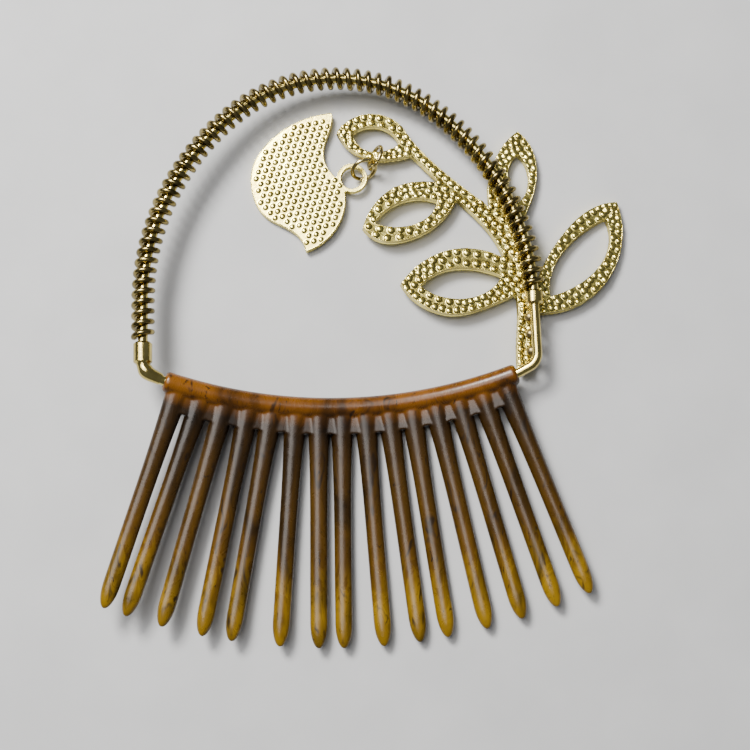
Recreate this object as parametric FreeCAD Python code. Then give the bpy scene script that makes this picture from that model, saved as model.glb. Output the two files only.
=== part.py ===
"""Decorative hair comb lying on its back: a fanned plastic comb, a wire hoop with a coil wound
round it, a cast branch of open leaves soldered under the hoop, and a petal charm that hangs from
one leaf by two jump rings.

Millimetres. +Y runs from the comb towards the top of the hoop, +Z points away from the surface
that the comb lies on, and the origin is the bottom centre of the whole object's box.
"""
import FreeCAD, Part
import math
import os

V = FreeCAD.Vector

# ---------------------------------------------------------------- driving dimensions, mm and degrees
spine_half_width = 30.0      # middle of the comb to each end of the spine
spine_sag = 4.7              # how far the spine's middle drops below its ends, in plan
spine_rise = 3.6             # how much higher the spine's ends lie than its middle
spine_middle_y = 0.3
spine_thickness = 3.6        # round bead along the spine
spine_end_round = 0.7
tooth_count = 15
tooth_spread = 27.4          # middle of the comb to the outer teeth, at the spine
fan_angle = 20.5             # lean of the outer teeth
tooth_lean = (1.4, -1.9, -1.8, -0.6, -2.1, 0.9, 1.6, -0.9, 0.1, 0.2, -1.6, -0.6, -0.5, -0.3, -0.6)
tooth_length = 40.6          # middle tooth, from the spine's centre line to its tip
outer_tooth_shorter = 1.6
tooth_width_root = 3.15
tooth_width_end = 2.95
tooth_flare = 1.0            # a tooth is this much wider again where it leaves the spine
tooth_flare_length = 18.0
tooth_height_root = 2.6
tooth_height_end = 2.1
tooth_ridge = 0.14           # the narrow flat along a tooth's top, as a share of its width
tooth_tip_length = 4.2       # tapered, rounded end
tooth_bow = 0.7              # each tooth bends down this much between its ends
tip_drop = 1.0               # outer tips lie this much lower than their roots
web_thickness = 1.5
web_depth = 5.7              # spine's centre line to the roots of the gaps
gusset_depth = 7.5
gusset_width = 1.7

wire_diameter = 1.7
wire_socket_depth = 2.6
wire_socket_gap = 0.05
hoop_half_width = 33.5
hoop_crown = 59.2            # top of the hoop's centre line
hoop_shoulder = 19.0         # where the straight legs end
hoop_side_radius = 44.0
hoop_tilt = 1.75             # the hoop slopes down towards its crown
leg_foot = 6.7               # where each leg turns towards the spine's end
leg_foot_height = 6.2
leg_bend_length = 1.6        # straight wire used up by the bend at the foot of a leg
socket_bend_length = 0.6     # and by the bend where the wire enters the spine

coil_wire = 1.2
coil_pitch = 1.84
coil_gap = 0.02
collar_diameter = 3.2
left_collar_length = 3.7
right_collar_length = 2.4
collar_tail_end = 2.0        # diameter of the left collar's tapered tail where it meets the spine
collar_chamfer = 0.3
left_collar_base = 7.9
right_collar_base = 16.9

branch_thickness = 1.6
end_leaf_relief = 0.2        # the leaf that carries the rings is this much thinner, at its back
solder_radius = 0.95
solder_places = (9.0, 12.0, 15.0)

petal_thickness = 1.2
petal_loop_outer = 5.5
petal_loop_inner = 3.8

ring_wire = 0.7
ring_diameter = 5.0          # outside

lie_roll = 2.2               # the whole comb leans this much towards its heavier, branch side

bead_radius = spine_thickness / 2
wire_radius = wire_diameter / 2
coil_mean_radius = wire_radius + coil_gap + coil_wire / 2
coil_outer_radius = coil_mean_radius + coil_wire / 2
ring_radius = (ring_diameter - ring_wire) / 2


# ---------------------------------------------------------------- helpers
def line(a, b):
    return Part.LineSegment(a, b).toShape()


def arc(a, middle, b):
    return Part.Arc(a, middle, b).toShape()


def spline(points):
    curve = Part.BSplineCurve()
    curve.interpolate(points)
    return curve.toShape()


def unit(vector):
    result = V(vector)
    result.normalize()
    return result


def tube_along(edges, radius):
    """Round bar along a smooth chain of edges."""
    path = Part.Wire(edges)
    first = edges[0]
    start = first.valueAt(first.FirstParameter)
    section = Part.Wire(Part.makeCircle(radius, start, first.tangentAt(first.FirstParameter)))
    return path.makePipeShell([section], True, False)


def bend(before, corner, after, tangent_length):
    """Round off a corner: where the arc starts, its middle and where it ends."""
    into = unit(before - corner)
    out = unit(after - corner)
    half_angle = into.getAngle(out) / 2
    radius = tangent_length * math.tan(half_angle)
    towards_centre = unit(into + out)
    centre = corner + towards_centre * (radius / math.sin(half_angle))
    return corner + into * tangent_length, centre - towards_centre * radius, corner + out * tangent_length


def plate(outline, thickness):
    """Flat plate between z = 0 and its thickness."""
    return Part.Face(Part.Wire(outline)).extrude(V(0, 0, thickness))


def moved(body, placement):
    body = body.copy()
    body.Placement = placement.multiply(body.Placement)
    return body


# ---------------------------------------------------------------- comb
spine_end_left = V(-spine_half_width, spine_middle_y + spine_sag, bead_radius + spine_rise)
spine_end_right = V(spine_half_width, spine_middle_y + spine_sag, bead_radius + spine_rise)
spine_middle = V(0, spine_middle_y, bead_radius)
spine_edge = arc(spine_end_left, spine_middle, spine_end_right)


def spine_point(x):
    """Point on the spine's centre line above this x."""
    low, high = spine_edge.FirstParameter, spine_edge.LastParameter
    for _ in range(40):
        middle = (low + high) / 2
        if spine_edge.valueAt(middle).x < x:
            low = middle
        else:
            high = middle
    return spine_edge.valueAt(low)


def tooth_share(index):
    """Where a tooth stands along the spine, from -1 to 1."""
    return 2 * index / (tooth_count - 1) - 1


def tooth_frame(index):
    """Root, direction towards the tip, sideways direction and surface normal of one tooth."""
    share = tooth_share(index)
    root = spine_point(share * tooth_spread)
    lean = math.radians(share * fan_angle + tooth_lean[index])
    fall = -tip_drop * share * share / tooth_length
    along = unit(V(math.sin(lean), -math.cos(lean), fall))
    slope = 2 * spine_rise * share * tooth_spread / spine_half_width**2
    across = unit(V(math.cos(lean), math.sin(lean), slope))
    normal = unit(across.cross(along)) * -1
    return root, along, unit(along.cross(normal)) * -1, normal


def tooth_section(centre, across, normal, width, height):
    """Closed section of a tooth: a narrow ridge on top, round flanks and a wider flat below."""
    def at(s, n):
        return centre + across * (s * width / 2) + normal * (n * height / 2)

    return Part.Wire([
        line(at(-tooth_ridge, 1), at(tooth_ridge, 1)),
        arc(at(tooth_ridge, 1), at(0.74, 0.66), at(1, 0)),
        arc(at(1, 0), at(0.80, -0.66), at(2 * tooth_ridge, -1)),
        line(at(2 * tooth_ridge, -1), at(-2 * tooth_ridge, -1)),
        arc(at(-2 * tooth_ridge, -1), at(-0.80, -0.66), at(-1, 0)),
        arc(at(-1, 0), at(-0.74, 0.66), at(-tooth_ridge, 1)),
    ])


def tooth(index):
    """One tooth: a slender bowed body and a tapered, rounded tip."""
    root, along, across, normal = tooth_frame(index)
    length = tooth_length - outer_tooth_shorter * tooth_share(index) ** 2
    tip_start = length - tooth_tip_length

    def section(distance, scale):
        share = distance / length
        width = tooth_width_root + (tooth_width_end - tooth_width_root) * share
        width += tooth_flare * max(0.0, 1 - distance / tooth_flare_length) ** 2
        height = tooth_height_root + (tooth_height_end - tooth_height_root) * share
        centre = root + along * distance - normal * (4 * tooth_bow * share * (1 - share))
        return tooth_section(centre, across, normal, width * scale, height * scale)

    body = [section(tip_start * step, 1.0) for step in (0.0, 0.1, 0.2, 0.33, 0.5, 0.75, 1.0)]
    tip = [section(tip_start + step * tooth_tip_length, math.sqrt(1 - step**2))
           for step in (0.0, 0.25, 0.45, 0.62, 0.76, 0.87, 0.95, 0.99)]
    return Part.makeLoft(body, True, False).fuse(Part.makeLoft(tip, True, True))


def web_between(index):
    """Thin web that joins two neighbouring teeth below the spine, with an arched lower edge."""
    root_a, along_a = tooth_frame(index)[:2]
    root_b, along_b = tooth_frame(index + 1)[:2]
    deep = web_depth + 0.5
    foot_a = root_a + along_a * deep
    foot_b = root_b + along_b * deep
    arch = (root_a + root_b + (along_a + along_b) * (web_depth - 1.1)) * 0.5
    normal = unit((root_b - root_a).cross(arch - root_a)) * -1
    inside = [root_a, root_b, foot_b, arch, foot_a]
    flattened = [p - normal * (p - root_a).dot(normal) for p in inside]
    a, b, c, d, e = [p - normal * (web_thickness / 2) for p in flattened]
    outline = Part.Wire([line(a, b), line(b, c), arc(c, d, e), line(e, a)])
    return Part.Face(outline).extrude(normal * web_thickness)


def gusset(side):
    """Small fillet of web outside the first or the last tooth."""
    index = 0 if side < 0 else tooth_count - 1
    root, along, across, normal = tooth_frame(index)
    outward = across * (1 if across.x * side > 0 else -1)
    low = normal * (-0.4 * web_thickness)
    a = root + low
    b = root + outward * gusset_width + low
    c = root + outward * (gusset_width + 0.1) + along * 2.2 + low
    d = root + outward * 1.25 + along * gusset_depth * 0.6 + low
    e = root + along * gusset_depth + low
    outline = Part.Wire([line(a, b), line(b, c), arc(c, d, e), line(e, a)])
    return Part.Face(outline).extrude(normal * (0.8 * web_thickness))


def spine_end_direction(side):
    """Outward direction of the spine's centre line at one end."""
    if side < 0:
        return spine_edge.tangentAt(spine_edge.FirstParameter) * -1
    return spine_edge.tangentAt(spine_edge.LastParameter)


def spine_end(side):
    return spine_end_left if side < 0 else spine_end_right


def comb():
    bead = tube_along([spine_edge], bead_radius)
    end_circles = [e for e in bead.Edges if e.Curve.TypeId == "Part::GeomCircle"
                   and abs(e.Curve.Radius - bead_radius) < 1e-6 and abs(e.CenterOfMass.x) > 20]
    bead = bead.makeFillet(spine_end_round, end_circles)
    parts = [tooth(i) for i in range(tooth_count)]
    parts += [web_between(i) for i in range(tooth_count - 1)]
    parts += [gusset(-1), gusset(1)]
    body = bead.multiFuse(parts).removeSplitter()
    for side in (-1, 1):
        outward = spine_end_direction(side)
        start = spine_end(side) - outward * wire_socket_depth
        socket_radius = wire_radius + wire_socket_gap
        body = body.cut(Part.makeCylinder(socket_radius, wire_socket_depth + 1, start, outward))
    return body


# ---------------------------------------------------------------- hoop
slope_of_hoop = math.tan(math.radians(hoop_tilt))


def on_hoop_plane(x, y, lift=0.0):
    """Point of the hoop's sloping plane above this place, raised by a lift."""
    return V(x, y, leg_foot_height - (y - leg_foot) * slope_of_hoop + lift)


def arch_edges():
    """Three tangent arcs from the left shoulder over the crown to the right shoulder."""
    inset = hoop_side_radius - hoop_half_width
    rise = hoop_crown - hoop_shoulder
    crown_radius = (inset**2 + rise**2 - hoop_side_radius**2) / (2 * (rise - hoop_side_radius))
    crown_centre_y = hoop_crown - crown_radius
    turn = math.atan2(crown_centre_y - hoop_shoulder, inset)

    def side_point(side, angle):
        return on_hoop_plane(side * (hoop_side_radius * math.cos(angle) - inset),
                             hoop_shoulder + hoop_side_radius * math.sin(angle))

    left = arc(side_point(-1, 0), side_point(-1, turn / 2), side_point(-1, turn))
    crown = arc(side_point(-1, turn), on_hoop_plane(0, hoop_crown), side_point(1, turn))
    right = arc(side_point(1, turn), side_point(1, turn / 2), side_point(1, 0))
    return [left, crown, right]


def leg_edges(side):
    """One leg from the shoulder down: straight, two bends and the end that sits in the spine."""
    shoulder = on_hoop_plane(side * hoop_half_width, hoop_shoulder)
    foot = on_hoop_plane(side * hoop_half_width, leg_foot)
    mouth = spine_end(side)
    seat = mouth - spine_end_direction(side) * (wire_socket_depth - 0.1)
    first = bend(shoulder, foot, mouth, leg_bend_length)
    second = bend(foot, mouth, seat, socket_bend_length)
    return [line(shoulder, first[0]), arc(*first), line(first[2], second[0]), arc(*second),
            line(second[2], seat)]


def reversed_chain(edges):
    result = []
    for edge in reversed(edges):
        first = edge.valueAt(edge.FirstParameter)
        last = edge.valueAt(edge.LastParameter)
        if edge.Curve.TypeId == "Part::GeomLine":
            result.append(line(last, first))
        else:
            middle = edge.valueAt((edge.FirstParameter + edge.LastParameter) / 2)
            result.append(arc(last, middle, first))
    return result


def hoop_core_wire():
    return tube_along(reversed_chain(leg_edges(-1)) + arch_edges() + leg_edges(1), wire_radius)


def coil_path_point(distance):
    """Point on the hoop's centre line and the outward direction there, this far past the left collar."""
    straight = hoop_shoulder - (left_collar_base + left_collar_length)
    if distance <= straight:
        return on_hoop_plane(-hoop_half_width, hoop_shoulder - straight + distance), V(-1, 0, 0)
    rest = distance - straight
    for edge in arch_edges():
        if rest <= edge.Length:
            break
        rest -= edge.Length
    parameter = edge.getParameterByLength(min(rest, edge.Length))
    point = edge.valueAt(parameter)
    return point, unit(point - edge.Curve.Center)


def hoop_coil():
    """One wire wound round the core as a chain of half turns."""
    straight = hoop_shoulder - (left_collar_base + left_collar_length)
    spare = right_collar_base + right_collar_length - hoop_shoulder
    length = straight + sum(e.Length for e in arch_edges()) - spare - coil_wire
    half_turns = int(2 * length / coil_pitch)
    up = V(0, math.sin(math.radians(hoop_tilt)), math.cos(math.radians(hoop_tilt)))
    edges = []
    previous = None
    for step in range(half_turns + 1):
        centre, outward = coil_path_point(coil_wire / 2 + step * coil_pitch / 2)
        side = 1 if step % 2 == 0 else -1
        point = centre + outward * (side * coil_mean_radius)
        if previous is not None:
            half_chord = previous.distanceToPoint(point) / 2
            lift = half_chord if side < 0 else -half_chord
            edges.append(arc(previous, (previous + point) * 0.5 + up * lift, point))
        previous = point
    return tube_along(edges, coil_wire / 2)


def collar(side, base, length):
    """Short tube crimped on the wire where the coil ends."""
    start = on_hoop_plane(side * hoop_half_width, base)
    axis = unit(on_hoop_plane(side * hoop_half_width, base + 1) - start)
    body = Part.makeCylinder(collar_diameter / 2, length, start, axis)
    return body.makeChamfer(collar_chamfer, body.Edges)


def tapered_tail():
    """The left collar's tail: it follows the wire's bend and narrows towards the spine."""
    straight, first_bend, slope, second_bend = leg_edges(-1)[:4]
    top = on_hoop_plane(-hoop_half_width, left_collar_base + 0.6)
    straight = line(top, first_bend.valueAt(first_bend.FirstParameter))
    stations = [(edge, share) for edge in (straight, first_bend, slope) for share in (0.0, 0.5)]
    stations.append((second_bend, 0.0))
    sections = []
    for step, (edge, share) in enumerate(stations):
        parameter = edge.FirstParameter + share * (edge.LastParameter - edge.FirstParameter)
        shrink = (collar_diameter - collar_tail_end) * step / (len(stations) - 1)
        radius = (collar_diameter - shrink) / 2
        circle = Part.makeCircle(radius, edge.valueAt(parameter), edge.tangentAt(parameter))
        sections.append(Part.Wire(circle))
    return Part.makeLoft(sections, True, False)


# ---------------------------------------------------------------- branch
stem_inner = ((30.3, 5.7), (30.5, 12.0), (30.8, 18.3), (29.8, 23.0), (28.4, 27.4),
              (25.6, 32.1), (21.2, 36.8), (17.1, 41.3), (13.3, 45.4))
stem_outer = ((32.5, 5.7), (33.2, 10.0), (33.4, 15.5), (32.7, 22.8), (31.5, 28.6),
              (29.4, 33.0), (25.3, 36.9), (18.5, 42.9), (12.8, 49.6))
neck_centre = V(32.9, 20.0, 0)
neck_radius = 2.1

# Each open leaf: two sides of its outline from base to tip, and the two sides of its opening.
leaves = {
    "end": dict(
        above=((13.1, 49.0), (10.4, 52.3), (6.0, 53.4), (2.4, 52.2), (0.2, 49.9)),
        below=((13.2, 45.2), (9.8, 44.5), (6.6, 44.6), (3.6, 45.8), (0.2, 49.9)),
        hole_above=((11.2, 47.5), (9.4, 50.0), (6.2, 50.8), (3.2, 49.5)),
        hole_below=((11.2, 47.5), (8.6, 46.3), (5.8, 46.4), (3.2, 49.5))),
    "upper": dict(
        above=((19.3, 40.0), (14.6, 40.5), (10.0, 39.4), (6.4, 36.3), (4.3, 32.0)),
        below=((21.1, 36.7), (18.2, 32.9), (13.0, 29.9), (7.9, 29.4), (4.3, 32.0)),
        hole_above=((17.6, 36.6), (14.8, 37.2), (11.2, 36.6), (6.6, 32.9)),
        hole_below=((17.6, 36.6), (15.6, 33.7), (11.6, 32.2), (6.6, 32.9))),
    "lower": dict(
        above=((29.8, 25.6), (24.6, 27.8), (19.5, 27.8), (14.2, 25.4), (10.6, 21.7)),
        below=((31.2, 19.4), (24.9, 16.9), (19.5, 15.9), (14.2, 17.7), (10.6, 21.7)),
        hole_above=((28.3, 22.7), (24.8, 23.9), (20.0, 24.2), (14.2, 21.2)),
        hole_below=((28.3, 22.7), (25.2, 19.8), (20.0, 18.9), (14.2, 21.2))),
    "outer": dict(
        above=((27.0, 35.0), (26.7, 39.0), (28.0, 43.9), (30.3, 47.7), (32.6, 49.7)),
        below=((31.4, 30.6), (34.7, 37.0), (35.7, 41.1), (35.2, 46.0), (32.6, 49.7)),
        hole_above=((31.4, 36.0), (30.5, 40.0), (31.1, 43.4), (32.4, 45.1)),
        hole_below=((31.4, 36.0), (33.5, 38.2), (34.0, 41.8), (32.4, 45.1))),
    "right": dict(
        above=((33.8, 20.0), (36.4, 25.7), (39.4, 30.1), (44.0, 34.4), (49.6, 36.1)),
        below=((33.3, 16.0), (38.1, 16.1), (45.8, 20.1), (50.0, 28.0), (49.6, 36.1)),
        hole_above=((36.7, 19.0), (37.3, 23.0), (42.0, 29.4), (47.3, 32.8)),
        hole_below=((36.7, 19.0), (43.2, 22.0), (47.4, 27.2), (47.3, 32.8))),
}

stem_back = V(24.5, 35.0, 0)  # middle of the stem's plain back

hoop_turn = FreeCAD.Rotation(V(1, 0, 0), -hoop_tilt)
branch_seat = FreeCAD.Placement(
    on_hoop_plane(0, 0, -(coil_outer_radius + branch_thickness + coil_gap)), hoop_turn)


def flat(points):
    return [V(x, y, 0) for x, y in points]


def closed_pair(one_side, other_side):
    """Closed outline of two smooth curves from base to tip, closed by a line where the bases differ."""
    a = flat(one_side)
    b = flat(other_side)
    edges = [spline(a), spline(list(reversed(b)))]
    if a[0].distanceToPoint(b[0]) > 1e-6:
        edges.append(line(b[0], a[0]))
    return edges


def branch():
    inner = flat(stem_inner)
    outer = list(reversed(flat(stem_outer)))
    outline = [spline(inner), line(inner[-1], outer[0]), spline(outer), line(outer[-1], inner[0])]
    body = plate(outline, branch_thickness)
    bodies = []
    openings = []
    for name, leaf in leaves.items():
        relief = end_leaf_relief if name == "end" else 0.0
        blank = plate(closed_pair(leaf["above"], leaf["below"]), branch_thickness - relief)
        bodies.append(blank.translated(V(0, 0, relief)))
        openings.append(plate(closed_pair(leaf["hole_above"], leaf["hole_below"]), branch_thickness))
    neck = Part.makeCylinder(neck_radius, branch_thickness, neck_centre)
    body = body.multiFuse(bodies + [neck])
    for opening in openings:
        body = body.cut(opening)
    return under_hoop(body.removeSplitter())


def under_hoop(body):
    """Bring a flat body's top face to the underside of the coil."""
    return moved(body, branch_seat)


def solder_joints(branch_body, wire_body):
    """Beads of solder between the branch's foot and the hoop's plain leg above it."""
    beads = []
    for y in solder_places:
        centre = on_hoop_plane(hoop_half_width - 0.7, y, -(coil_outer_radius + wire_radius) / 2)
        beads.append(Part.makeSphere(solder_radius, centre).cut(branch_body).cut(wire_body))
    return Part.makeCompound([solid for bead in beads for solid in bead.Solids])


# ---------------------------------------------------------------- petal and jump rings
petal_loop_centre = V(2.95, 41.65, 0)
petal_tilt = 3.0             # the loop's side is held up by the ring's wire under it
petal_heel_x = -15.1         # the petal rests on its far edge
petal_right = ((-0.3, 54.0), (-0.8, 50.6), (-1.9, 47.3), (-1.3, 43.8), (1.3, 40.2),
               (1.5, 36.0), (-0.7, 31.6), (-5.6, 28.4))
petal_left = ((-5.6, 28.4), (-7.9, 32.2), (-12.9, 35.4), (-15.0, 40.0), (-14.7, 44.8),
              (-11.9, 49.0), (-7.1, 52.4), (-0.3, 54.0))
upper_ring_centre = V(7.09, 45.08, 2.38)
upper_ring_normal = V(-0.85, 0.32, 0.42)
lower_ring_centre = V(5.05, 43.01, 2.29)
lower_ring_normal = V(0.28, -0.83, 0.49)
leaf_rim_point = V(7.1, 45.42, 2.15)
leaf_rim_direction = V(0.995, -0.10, 0)


def petal():
    body = plate([spline(flat(petal_right)), spline(flat(petal_left))], petal_thickness)
    loop = Part.makeCylinder(petal_loop_outer / 2, petal_thickness, petal_loop_centre)
    eye = Part.makeCylinder(petal_loop_inner / 2, petal_thickness, petal_loop_centre)
    body = body.fuse(loop).removeSplitter().cut(eye)
    body.rotate(V(petal_heel_x, 0, 0), V(0, 1, 0), -petal_tilt)
    return body


def jump_ring(centre, normal):
    return Part.makeTorus(ring_radius, ring_wire / 2, centre, normal)


def wire_near(centre, normal, target):
    """Point on a ring's centre line nearest to a target, and the wire's direction there."""
    axis = unit(normal)
    offset = target - centre
    radial = unit(offset - axis * offset.dot(axis))
    return centre + radial * ring_radius, unit(axis.cross(radial))


# ---------------------------------------------------------------- whole object
def rigid_bodies():
    """Everything that is joined firmly together, before the comb is laid down."""
    bodies = {"comb": comb(), "hoop_core_wire": hoop_core_wire(), "hoop_coil": hoop_coil()}
    left_collar = collar(-1, left_collar_base, left_collar_length).fuse(tapered_tail())
    bodies["left_collar"] = left_collar.cut(bodies["hoop_core_wire"])
    bodies["right_collar"] = collar(1, right_collar_base, right_collar_length).cut(bodies["hoop_core_wire"])
    bodies["branch"] = branch()
    bodies["solder_joints"] = solder_joints(bodies["branch"], bodies["hoop_core_wire"])
    return bodies


def build():
    """All nodes where they lie, and the named points and directions that others need."""
    # The rigid comb rolls over until it rests on its middle and on the right leaf.
    lying = FreeCAD.Placement(V(0, 0, 0), FreeCAD.Rotation(V(0, 1, 0), lie_roll))
    nodes = {name: moved(body, lying) for name, body in rigid_bodies().items()}
    lift = V(0, 0, -nodes["comb"].optimalBoundingBox().ZMin)
    for body in nodes.values():
        body.translate(lift)
    nodes["upper_jump_ring"] = jump_ring(upper_ring_centre, upper_ring_normal)
    nodes["lower_jump_ring"] = jump_ring(lower_ring_centre, lower_ring_normal)
    nodes["petal"] = petal()
    places = {
        "upper_ring_swing": (leaf_rim_point, unit(leaf_rim_direction)),
        "lower_ring_swing": wire_near(upper_ring_centre, upper_ring_normal, lower_ring_centre),
        "petal_swing": wire_near(lower_ring_centre, lower_ring_normal, petal_loop_centre),
        "branch_back": (lying.multVec(branch_seat.multVec(stem_back)) + lift,
                        lying.Rotation.multVec(hoop_turn.multVec(V(0, 0, -1)))),
        "middle_tooth": (V(0, -tooth_length / 2, bead_radius) + lift, V(0, -1, 0)),
    }
    whole = Part.makeCompound(list(nodes.values())).optimalBoundingBox()
    centring = V(-whole.Center.x, -whole.Center.y, -whole.ZMin)
    for body in nodes.values():
        body.translate(centring)
    return nodes, {name: (point + centring, axis) for name, (point, axis) in places.items()}


os.makedirs("parts", exist_ok=True)
all_nodes, all_places = build()
for node_name, shape in all_nodes.items():
    box = shape.optimalBoundingBox()
    print(f"{node_name}: valid {shape.isValid()}, {len(shape.Solids)} solid(s), {shape.Volume:.1f} mm3, "
          f"x {box.XMin:.2f}..{box.XMax:.2f}, y {box.YMin:.2f}..{box.YMax:.2f}, z {box.ZMin:.2f}..{box.ZMax:.2f}")
    shape.exportStep(f"parts/{node_name}.step")
for place_name, (point, axis) in all_places.items():
    print(f"{place_name}: point {point.x:.4f} {point.y:.4f} {point.z:.4f}, "
          f"axis {axis.x:.5f} {axis.y:.5f} {axis.z:.5f}")
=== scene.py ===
"""Looks of the decorative hair comb: tortoiseshell plastic, pebbled gold castings and wound wire.

Metres, in the row frame. +Y runs from the comb to the top of the hoop, +Z is up.
"""
import bpy
import math
import numpy as np
from mathutils import Matrix, Vector


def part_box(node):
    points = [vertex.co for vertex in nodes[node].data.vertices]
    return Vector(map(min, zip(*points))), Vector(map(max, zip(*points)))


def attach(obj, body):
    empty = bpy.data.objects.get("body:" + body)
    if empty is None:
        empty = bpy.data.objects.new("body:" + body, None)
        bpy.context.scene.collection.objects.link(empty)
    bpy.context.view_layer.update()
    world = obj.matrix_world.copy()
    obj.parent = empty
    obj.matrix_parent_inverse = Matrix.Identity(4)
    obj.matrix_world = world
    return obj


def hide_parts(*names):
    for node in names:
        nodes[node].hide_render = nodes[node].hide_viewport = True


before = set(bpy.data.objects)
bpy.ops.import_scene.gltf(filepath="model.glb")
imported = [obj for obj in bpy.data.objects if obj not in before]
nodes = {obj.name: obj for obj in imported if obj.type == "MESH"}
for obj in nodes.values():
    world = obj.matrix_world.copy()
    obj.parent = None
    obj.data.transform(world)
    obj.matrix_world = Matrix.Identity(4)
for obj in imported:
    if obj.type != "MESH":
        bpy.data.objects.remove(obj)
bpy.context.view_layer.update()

MM = 0.001                   # metres; the lengths below are in millimetres unless a name ends in _M
CORE_RADIUS = 0.85
COIL_HEIGHT = 1.20           # thin wire, across the turn it makes
COIL_WIDTH = 1.02            # and along the hoop
COIL_PITCH = 1.84
COIL_STEPS_PER_TURN = 28
COIL_SIDES = 12
HUB_ABOVE_COLLAR = 4.0       # a point inside the hoop from which its wire is followed round
OPEN_ANGLE = 0.6             # radians left out on each side of the comb when following the hoop
RING_SLIT_DEGREES = 5.0
RING_STEPS = 90
RING_SIDES = 14
SPINE_MIDDLE = (-4.95, -10.2)
SPINE_HALF_WIDTH = 30.0
SPINE_SAG = 4.7
TOOTH_LENGTH = 40.6
COMB_VOXEL = 0.18
BRANCH_VOXEL = 0.13
PETAL_VOXEL = 0.12
BRANCH_DOME_PITCH = 1.42
BRANCH_DOMED_AREA = 620      # square millimetres
PETAL_DOME_PITCH = 1.30
PETAL_ROW_TURN = 10          # degrees
PETAL_MARGIN = 0.75
PETAL_REACH = 14             # rows are laid this far from the petal's middle

# ---------------------------------------------------------------- mesh helpers


def points_of(mesh):
    """Vertex positions of a mesh as an array, in millimetres."""
    flat = np.zeros(len(mesh.vertices) * 3)
    mesh.vertices.foreach_get("co", flat)
    return flat.reshape(-1, 3) / MM


def normals_of(mesh):
    flat = np.zeros(len(mesh.vertices) * 3)
    mesh.vertex_normals.foreach_get("vector", flat)
    return flat.reshape(-1, 3)


def set_points(mesh, points):
    mesh.vertices.foreach_set("co", (points * MM).ravel())
    mesh.update()


def edges_of(mesh):
    flat = np.zeros(len(mesh.edges) * 2, dtype=np.int64)
    mesh.edges.foreach_get("vertices", flat)
    return flat.reshape(-1, 2)


def smooth_shaded(mesh):
    mesh.polygons.foreach_set("use_smooth", np.ones(len(mesh.polygons), dtype=bool))
    mesh.update()


def store(mesh, name, values):
    """Keep one number per vertex for the material to read."""
    attribute = mesh.attributes.new(name, "FLOAT", "POINT")
    attribute.data.foreach_set("value", np.asarray(values, dtype=np.float32))


def remeshed(node_name, piece_name, voxel_mm):
    """Evenly meshed copy of a CAD node, as a new object."""
    copy = nodes[node_name].copy()
    copy.data = nodes[node_name].data.copy()
    copy.parent = None
    copy.matrix_world = Matrix.Identity(4)
    bpy.context.scene.collection.objects.link(copy)
    copy.data.transform(Matrix.Scale(1 / MM, 4))
    modifier = copy.modifiers.new("even", "REMESH")
    modifier.mode = "VOXEL"
    modifier.voxel_size = voxel_mm
    evaluated = copy.evaluated_get(bpy.context.evaluated_depsgraph_get())
    mesh = bpy.data.meshes.new_from_object(evaluated)
    mesh.transform(Matrix.Scale(MM, 4))
    mesh.materials.clear()
    bpy.data.objects.remove(copy)
    smooth_shaded(mesh)
    piece = bpy.data.objects.new(piece_name, mesh)
    bpy.context.scene.collection.objects.link(piece)
    return piece


def relax(mesh, rounds, strength=0.5):
    """Pull every vertex towards its neighbours' average."""
    points = points_of(mesh)
    pairs = edges_of(mesh)
    count = np.zeros(len(points))
    np.add.at(count, pairs.ravel(), 1)
    for _ in range(rounds):
        total = np.zeros_like(points)
        np.add.at(total, pairs[:, 0], points[pairs[:, 1]])
        np.add.at(total, pairs[:, 1], points[pairs[:, 0]])
        points += (total / count[:, None] - points) * strength
    set_points(mesh, points)


def nearest(points, seeds):
    """Index of and distance to the nearest seed of each point, in plan."""
    index = np.empty(len(points), dtype=int)
    distance = np.empty(len(points))
    for start in range(0, len(points), 4000):
        part = points[start:start + 4000]
        apart = ((part[:, None, :] - seeds[None, :, :]) ** 2).sum(axis=2)
        best = apart.argmin(axis=1)
        index[start:start + 4000] = best
        distance[start:start + 4000] = np.sqrt(apart[np.arange(len(part)), best])
    return index, distance


def even_seeds(plan, pitch, area, seed, rounds=14):
    """Places spread evenly over a region given by its points: a few rounds of centring each cell."""
    generator = np.random.default_rng(seed)
    count = int(area / (0.866 * pitch * pitch))
    sample = plan[generator.choice(len(plan), min(len(plan), 16000), replace=False)]
    seeds = sample[generator.choice(len(sample), count, replace=False)]
    for _ in range(rounds):
        index, _distance = nearest(sample, seeds)
        total = np.zeros_like(seeds)
        number = np.zeros(len(seeds))
        np.add.at(total, index, sample)
        np.add.at(number, index, 1)
        used = number > 0
        seeds[used] = total[used] / number[used][:, None]
    return seeds


def rows_of_seeds(plan, pitch, turn_degrees, margin):
    """Places in staggered rows over a region, none nearer to its edge than the margin."""
    turn = math.radians(turn_degrees)
    along = np.array([math.cos(turn), math.sin(turn)])
    across = np.array([-along[1], along[0]])
    reach = int(PETAL_REACH / pitch)
    middle = plan.mean(axis=0)
    steps = np.arange(-reach, reach + 1)
    places = np.array([middle + along * pitch * (i + 0.5 * (j % 2)) + across * pitch * 0.866 * j
                       for j in steps for i in steps])
    angles = np.linspace(0, 2 * math.pi, 10, endpoint=False)
    rim = np.column_stack([np.cos(angles), np.sin(angles)]) * margin
    inside = np.ones(len(places), dtype=bool)
    for offset in rim:
        _index, distance = nearest(places + offset, plan)
        inside &= distance < 0.2
    return places[inside]


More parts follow.
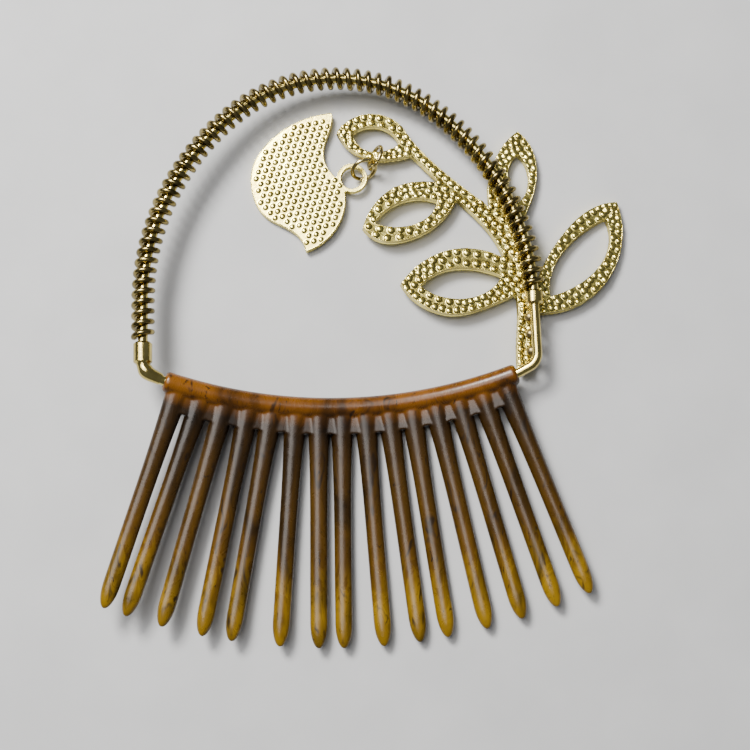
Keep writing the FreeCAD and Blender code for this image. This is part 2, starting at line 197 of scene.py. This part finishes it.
def beaded(piece, seeds, dome_radius, depth, variation, seed):
    """Raise round domes at the seeds on the upper side of a plate, above a lower ground, and keep the
    groove round each dome as the mask for painted shade.
    """
    mesh = piece.data
    points = points_of(mesh)
    normals = normals_of(mesh)
    index, distance = nearest(points[:, :2], seeds)
    generator = np.random.default_rng(seed)
    size = dome_radius * generator.uniform(1 - variation, 1 + variation, len(seeds))[index]
    lower = generator.uniform(0.0, variation, len(seeds))[index]
    share = np.clip(distance / size, 0, 1)
    dome = np.sqrt(1 - share**2) * (1 - lower)
    upper = np.clip((normals[:, 2] + 0.35) / 0.8, 0, 1)
    recess = depth * (1 - dome) * upper
    set_points(mesh, points - normals * recess[:, None])
    # Mask for painted shade: a ring round each dome where it meets the ground, stored as the crevice
    # attribute.
    groove = np.exp(-((distance / size - 1.0) / 0.18) ** 2)
    store(mesh, "crevice", groove * upper)
    smooth_shaded(mesh)


def top_plan(piece):
    """Plan positions of a plate's upper side."""
    return points_of(piece.data)[normals_of(piece.data)[:, 2] > 0.8][:, :2]


def swept(name, centres, across_a, across_b, sides):
    """Solid bar: an ellipse with half axes across_a and across_b at each centre, capped at both ends."""
    count = len(centres)
    turn = np.linspace(0, 2 * math.pi, sides, endpoint=False)
    rings = (centres[:, None, :] + across_a[:, None, :] * np.cos(turn)[None, :, None]
             + across_b[:, None, :] * np.sin(turn)[None, :, None])
    faces = []
    for step in range(count - 1):
        for side in range(sides):
            after = (side + 1) % sides
            a, b = step * sides, (step + 1) * sides
            faces.append((a + side, a + after, b + after, b + side))
    faces.append(tuple(range(sides - 1, -1, -1)))
    faces.append(tuple(range((count - 1) * sides, count * sides)))
    mesh = bpy.data.meshes.new(name)
    mesh.from_pydata((rings.reshape(-1, 3) * MM).tolist(), [], faces)
    smooth_shaded(mesh)
    for cap in (mesh.polygons[-1], mesh.polygons[-2]):
        cap.use_smooth = False
    piece = bpy.data.objects.new(name, mesh)
    bpy.context.scene.collection.objects.link(piece)
    return piece


def lengths_along(points):
    steps = np.linalg.norm(np.diff(points, axis=0), axis=1)
    return np.concatenate([[0], np.cumsum(steps)])


def hoop_centre_line():
    """The core wire's centre line between the two collars, evenly spaced, and its plane's upward normal."""
    wire = nodes["hoop_core_wire"].data
    middle = points_of(wire) - normals_of(wire) * CORE_RADIUS
    from_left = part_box("left_collar")[1].y / MM
    from_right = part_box("right_collar")[1].y / MM
    hub = np.array([(middle[:, 0].min() + middle[:, 0].max()) / 2, from_right + HUB_ABOVE_COLLAR])
    angle = np.arctan2(hub[0] - middle[:, 0], hub[1] - middle[:, 1])
    angle = np.where(angle < 0, angle + 2 * math.pi, angle)
    order = np.argsort(angle)
    bins = np.linspace(OPEN_ANGLE, 2 * math.pi - OPEN_ANGLE, 400)
    path = np.column_stack([np.interp(bins, angle[order], middle[order, axis]) for axis in range(3)])
    for _ in range(12):
        path[1:-1] = (path[:-2] + 2 * path[1:-1] + path[2:]) / 4
    left = path[:, 0] < hub[0]
    path = path[np.where(left, path[:, 1] > from_left, path[:, 1] > from_right)]
    _u, _s, axes = np.linalg.svd(path - path.mean(axis=0))
    up = axes[2] * np.sign(axes[2][2])
    along = lengths_along(path)
    even = np.linspace(0, along[-1], 1200)
    return np.column_stack([np.interp(even, along, path[:, axis]) for axis in range(3)]), even, up


def wound_coil():
    """Thin wire wound round the hoop in open turns, a little flattened."""
    path, along, up = hoop_centre_line()
    forward = np.gradient(path, along, axis=0)
    forward /= np.linalg.norm(forward, axis=1)[:, None]
    inset = COIL_WIDTH / 2
    turns = (along[-1] - 2 * inset) / COIL_PITCH
    steps = int(turns * COIL_STEPS_PER_TURN)
    where = np.linspace(inset, along[-1] - inset, steps)
    centre = np.column_stack([np.interp(where, along, path[:, axis]) for axis in range(3)])
    tangent = np.column_stack([np.interp(where, along, forward[:, axis]) for axis in range(3)])
    outward = np.cross(np.broadcast_to(up, tangent.shape), tangent)
    phase = 2 * math.pi * (where - where[0]) / COIL_PITCH
    radial = outward * np.cos(phase)[:, None] + up * np.sin(phase)[:, None]
    radius = CORE_RADIUS + COIL_HEIGHT / 2
    line = centre + radial * radius
    run = np.gradient(line, axis=0)
    run /= np.linalg.norm(run, axis=1)[:, None]
    side = np.cross(run, radial)
    return swept("hoop_winding", line, radial * (COIL_HEIGHT / 2), side * (COIL_WIDTH / 2), COIL_SIDES)


def open_ring(node_name, piece_name, slit_at):
    """Round wire bent into a jump ring whose two cut ends nearly meet."""
    points = points_of(nodes[node_name].data)
    middle = (points.min(axis=0) + points.max(axis=0)) / 2
    _u, _s, axes = np.linalg.svd(points - middle, full_matrices=False)
    first, second, normal = axes
    away = np.linalg.norm(points - middle, axis=1)
    outer = away.max()
    wire = np.abs((points - middle) @ normal).max()
    swept_degrees = np.linspace(0, 360 - RING_SLIT_DEGREES, RING_STEPS)
    turn = np.radians(slit_at + RING_SLIT_DEGREES / 2 + swept_degrees)
    radial = first * np.cos(turn)[:, None] + second * np.sin(turn)[:, None]
    centres = middle + radial * (outer - wire)
    spread = np.broadcast_to(normal, radial.shape)
    return swept(piece_name, centres, radial * wire, spread * wire, RING_SIDES)


# ---------------------------------------------------------------- material helpers
class Nodes:
    """Short way to write a node tree."""

    def __init__(self, name):
        self.material = bpy.data.materials.new(name)
        self.material.use_nodes = True
        self.tree = self.material.node_tree
        self.shader = self.tree.nodes["Principled BSDF"]

    def add(self, kind, **settings):
        node = self.tree.nodes.new(kind)
        for key, value in settings.items():
            setattr(node, key, value)
        return node

    def link(self, source, target):
        self.tree.links.new(source, target)

    def where(self):
        return self.add("ShaderNodeTexCoord").outputs["Object"]

    def noise(self, scale, detail=4.0, roughness=0.55, distortion=0.0, vector=None):
        node = self.add("ShaderNodeTexNoise")
        node.inputs["Scale"].default_value = scale
        node.inputs["Detail"].default_value = detail
        node.inputs["Roughness"].default_value = roughness
        node.inputs["Distortion"].default_value = distortion
        self.link(vector or self.where(), node.inputs["Vector"])
        return node.outputs["Fac"]

    def ramp(self, value, *stops):
        node = self.add("ShaderNodeValToRGB")
        elements = node.color_ramp.elements
        while len(elements) < len(stops):
            elements.new(0.5)
        for element, (position, colour) in zip(elements, stops):
            element.position = position
            element.color = colour if len(colour) == 4 else (*colour, 1)
        self.link(value, node.inputs["Fac"])
        return node.outputs["Color"]

    def range(self, value, low, high, to_low, to_high):
        node = self.add("ShaderNodeMapRange")
        for key, number in (("From Min", low), ("From Max", high), ("To Min", to_low), ("To Max", to_high)):
            node.inputs[key].default_value = number
        self.link(value, node.inputs["Value"])
        return node.outputs["Result"]

    def mix(self, factor, a, b, blend="MIX"):
        node = self.add("ShaderNodeMix", data_type="RGBA", blend_type=blend)
        for socket, value in ((node.inputs[0], factor), (node.inputs[6], a), (node.inputs[7], b)):
            if isinstance(value, (int, float)):
                socket.default_value = value
            elif isinstance(value, tuple):
                socket.default_value = (*value, 1)
            else:
                self.link(value, socket)
        return node.outputs[2]

    def math(self, operation, a, b=0.0):
        node = self.add("ShaderNodeMath", operation=operation)
        for socket, value in zip(node.inputs, (a, b)):
            if isinstance(value, (int, float)):
                socket.default_value = value
            else:
                self.link(value, socket)
        return node.outputs[0]

    def attribute(self, name):
        return self.add("ShaderNodeAttribute", attribute_name=name).outputs["Fac"]

    def bump(self, height, strength, distance, base=None):
        node = self.add("ShaderNodeBump")
        node.inputs["Strength"].default_value = strength
        node.inputs["Distance"].default_value = distance
        self.link(height, node.inputs["Height"])
        if base is not None:
            self.link(base, node.inputs["Normal"])
        return node.outputs["Normal"]

    def set(self, name, value):
        socket = self.shader.inputs[name]
        if isinstance(value, (int, float)):
            socket.default_value = value
        elif isinstance(value, tuple):
            socket.default_value = (*value, 1)
        else:
            self.link(value, socket)


# Painted shade: dark brown laid into the grooves between the domes.
CREVICE_SHADE_BROWN = (0.06, 0.045, 0.01)


def gold(name, bright, deep, roughness, crevice=False, scale=900.0):
    """Pale yellow plated metal with duller, browner patches and fine wear; with crevice set, painted shade
    darkens the grooves between the domes.
    """
    n = Nodes(name)
    patches = n.noise(scale * 0.35, detail=3.0)
    fine = n.noise(scale * 4, detail=2.0)
    tint = n.mix(n.range(patches, 0.35, 0.7, 0.0, 1.0), bright, deep)
    rough = n.range(fine, 0.3, 0.7, roughness * 0.7, roughness * 1.4)
    if crevice:
        # Painted shade: the grooves between the domes are darkened, and they are also made rougher.
        depth = n.attribute("crevice")
        crevice_shade = n.range(depth, 0.25, 0.9, 0.0, 0.9)
        tint = n.mix(crevice_shade, tint, CREVICE_SHADE_BROWN)
        rough = n.math("ADD", rough, n.range(depth, 0.5, 1.0, 0.0, 0.2))
    n.set("Base Color", tint)
    n.set("Metallic", 1.0)
    n.set("Roughness", rough)
    n.set("Normal", n.bump(fine, 0.25, 0.00004, n.bump(patches, 0.35, 0.00015)))
    return n.material


# Painted light: bright amber on the spine bead, standing in for light shining through it.
SPINE_GLOW_AMBER = (0.17, 0.062, 0.005)
# Painted shade: the darkest band, just below the spine between the tooth roots, where the spine's shadow
# falls.
ROOT_SHADE_BROWN = (0.024, 0.011, 0.002)
BODY_BROWN = (0.052, 0.025, 0.003)
# Painted light: from here the teeth grow lighter to golden tips, standing in for light shining through the
# thinner tips, over the plastic's own amber.
LOWER_BROWN = (0.10, 0.048, 0.003)
TIP_GLOW_GOLD = (0.25, 0.145, 0.003)
NEAR_BLACK = (0.012, 0.006, 0.002)


def tortoiseshell():
    """Brown-amber plastic, nearly black in places; painted light makes the spine amber and the teeth
    lighter to golden tips, and painted shade darkens the band just below the spine.
    """
    n = Nodes("tortoiseshell_plastic")
    along = n.attribute("along")
    stretched = n.add("ShaderNodeMapping")
    stretched.inputs["Scale"].default_value = (1.0, 0.35, 1.0)
    n.link(n.where(), stretched.inputs["Vector"])
    cloud = n.noise(170, detail=3.0, distortion=0.8, vector=stretched.outputs["Vector"])
    streak = n.noise(420, detail=4.0, distortion=1.5, vector=stretched.outputs["Vector"])
    ragged = n.math("MULTIPLY", along, n.range(streak, 0.3, 0.7, 0.84, 1.16))
    # Colours down each tooth: painted light on the spine, painted shade just below it, brown, then painted
    # light towards the tips.
    zones = n.ramp(ragged, (0.02, SPINE_GLOW_AMBER), (0.09, ROOT_SHADE_BROWN), (0.30, BODY_BROWN),
                   (0.66, LOWER_BROWN), (0.86, TIP_GLOW_GOLD))
    shade = n.ramp(cloud, (0.32, (0.22, 0.22, 0.22)), (0.50, (0.70, 0.68, 0.60)), (0.68, (1.0, 1.0, 1.0)))
    tint = n.mix(1.0, zones, shade, "MULTIPLY")
    specks = n.noise(800, detail=2.0, distortion=2.0, vector=stretched.outputs["Vector"])
    dark = n.math("MAXIMUM", n.range(streak, 0.58, 0.68, 0.0, 0.92), n.range(specks, 0.66, 0.72, 0.0, 0.85))
    tint = n.mix(dark, tint, NEAR_BLACK)
    n.set("Base Color", tint)
    n.set("Roughness", n.range(streak, 0.3, 0.7, 0.22, 0.34))
    n.set("IOR", 1.5)
    n.set("Transmission Weight", 0.22)
    n.set("Specular IOR Level", 0.3)
    n.set("Coat Weight", 0.04)
    n.set("Coat Roughness", 0.14)
    scuffs = n.noise(1500, detail=2.0, vector=stretched.outputs["Vector"])
    n.set("Normal", n.bump(scuffs, 0.04, 0.00003, n.bump(cloud, 0.08, 0.0003)))
    return n.material


def paint(obj, material):
    obj.data.materials.clear()
    obj.data.materials.append(material)


# ---------------------------------------------------------------- pieces
PALE_GOLD = (0.93, 0.81, 0.24)
DEEP_GOLD = (0.64, 0.52, 0.13)

wire_gold = gold("wire_gold", (0.66, 0.54, 0.18), (0.42, 0.33, 0.10), 0.15)
# Painted shade: the wound wire is a much darker copy of the wire gold, standing in for the dark
# surroundings it mirrors.
coil_gold_shaded = gold("coil_gold_shaded", (0.34, 0.27, 0.10), (0.12, 0.092, 0.03), 0.19)
ring_gold = gold("ring_gold", (0.60, 0.50, 0.22), (0.34, 0.27, 0.10), 0.18)
cast_gold = gold("cast_gold", PALE_GOLD, DEEP_GOLD, 0.20, crevice=True)
solder_metal = gold("solder_metal", (0.34, 0.27, 0.12), (0.20, 0.16, 0.07), 0.34)
plastic = tortoiseshell()

comb = remeshed("comb", "comb_body", COMB_VOXEL)
relax(comb.data, 2)
comb_points = points_of(comb.data)
spine_y = SPINE_MIDDLE[1] + SPINE_SAG * ((comb_points[:, 0] - SPINE_MIDDLE[0]) / SPINE_HALF_WIDTH) ** 2
store(comb.data, "along", np.clip((spine_y - comb_points[:, 1]) / TOOTH_LENGTH, 0, 1))
paint(comb, plastic)
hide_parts("comb")
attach(comb, "comb_and_hoop")

branch = remeshed("branch", "branch_casting", BRANCH_VOXEL)
branch_seeds = even_seeds(top_plan(branch), BRANCH_DOME_PITCH, BRANCH_DOMED_AREA, seed=7)
beaded(branch, branch_seeds, dome_radius=0.56, depth=0.30, variation=0.12, seed=8)
paint(branch, cast_gold)
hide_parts("branch")
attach(branch, "comb_and_hoop")

petal = remeshed("petal", "petal_casting", PETAL_VOXEL)
petal_seeds = rows_of_seeds(top_plan(petal), PETAL_DOME_PITCH, PETAL_ROW_TURN, margin=PETAL_MARGIN)
beaded(petal, petal_seeds, dome_radius=0.43, depth=0.20, variation=0.06, seed=12)
paint(petal, cast_gold)
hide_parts("petal")
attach(petal, "petal_charm")

winding = wound_coil()
paint(winding, coil_gold_shaded)
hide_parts("hoop_coil")
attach(winding, "comb_and_hoop")

RINGS = (("upper_jump_ring", "upper_ring", 40), ("lower_jump_ring", "lower_ring", 200))
for node_name, body, slit_at in RINGS:
    ring = open_ring(node_name, body + "_wire", slit_at)
    paint(ring, ring_gold)
    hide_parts(node_name)
    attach(ring, body)

for name in ("hoop_core_wire", "left_collar", "right_collar"):
    paint(nodes[name], wire_gold)
paint(nodes["solder_joints"], solder_metal)

# ---------------------------------------------------------------- stage, light and camera


FLOOR_HALF_M = 0.6
CAMERA_TARGET = (0.97, -4.19, 0)
CAMERA_OFFSET = (-1.4, -47.7, 245.4)
CAMERA_UP = (0.0297, 0.9996, 0)
LENS = 69
SENSOR_WIDTH = 36


def floor():
    mesh = bpy.data.meshes.new("floor")
    corners = [(-1, -1), (1, -1), (1, 1), (-1, 1)]
    mesh.from_pydata([(x * FLOOR_HALF_M, y * FLOOR_HALF_M, 0) for x, y in corners], [], [(0, 1, 2, 3)])
    obj = bpy.data.objects.new("floor", mesh)
    bpy.context.scene.collection.objects.link(obj)
    n = Nodes("floor_paper")
    n.set("Base Color", n.ramp(n.noise(60), (0.3, (0.42, 0.43, 0.44)), (0.7, (0.46, 0.47, 0.48))))
    n.set("Roughness", 0.9)
    n.set("Specular IOR Level", 0.2)
    paint(obj, n.material)


def area_light(name, place, target, size, power, colour=(1, 1, 1), size_y=None):
    data = bpy.data.lights.new(name, "AREA")
    data.energy = power
    data.color = colour
    data.size = size
    if size_y:
        data.shape = "RECTANGLE"
        data.size_y = size_y
    obj = bpy.data.objects.new(name, data)
    bpy.context.scene.collection.objects.link(obj)
    obj.location = place
    obj.rotation_euler = (Vector(target) - Vector(place)).to_track_quat("-Z", "Y").to_euler()


def camera():
    target = Vector(CAMERA_TARGET) * MM
    place = target + Vector(CAMERA_OFFSET) * MM
    up = Vector(CAMERA_UP)
    back = (place - target).normalized()
    right = up.cross(back).normalized()
    true_up = back.cross(right)
    data = bpy.data.cameras.new("camera")
    data.lens = LENS
    data.sensor_width = SENSOR_WIDTH
    data.clip_start = 0.01
    obj = bpy.data.objects.new("camera", data)
    bpy.context.scene.collection.objects.link(obj)
    obj.matrix_world = Matrix((
        (right.x, true_up.x, back.x, place.x),
        (right.y, true_up.y, back.y, place.y),
        (right.z, true_up.z, back.z, place.z),
        (0, 0, 0, 1)))
    bpy.context.scene.camera = obj


floor()
area_light("key", (-0.17, 0.22, 0.36), (0, 0, 0), 0.14, 4.4, (1.0, 0.97, 0.93))
area_light("long_softbox", (-0.20, 0.12, 0.52), (0, 0, 0), 0.30, 3.6, (1.0, 0.96, 0.93), size_y=0.55)
camera()
world = bpy.data.worlds.new("studio")
world.use_nodes = True
background = world.node_tree.nodes["Background"]
background.inputs["Color"].default_value = (0.75, 0.78, 0.82, 1)
background.inputs["Strength"].default_value = 0.20
bpy.context.scene.world = world

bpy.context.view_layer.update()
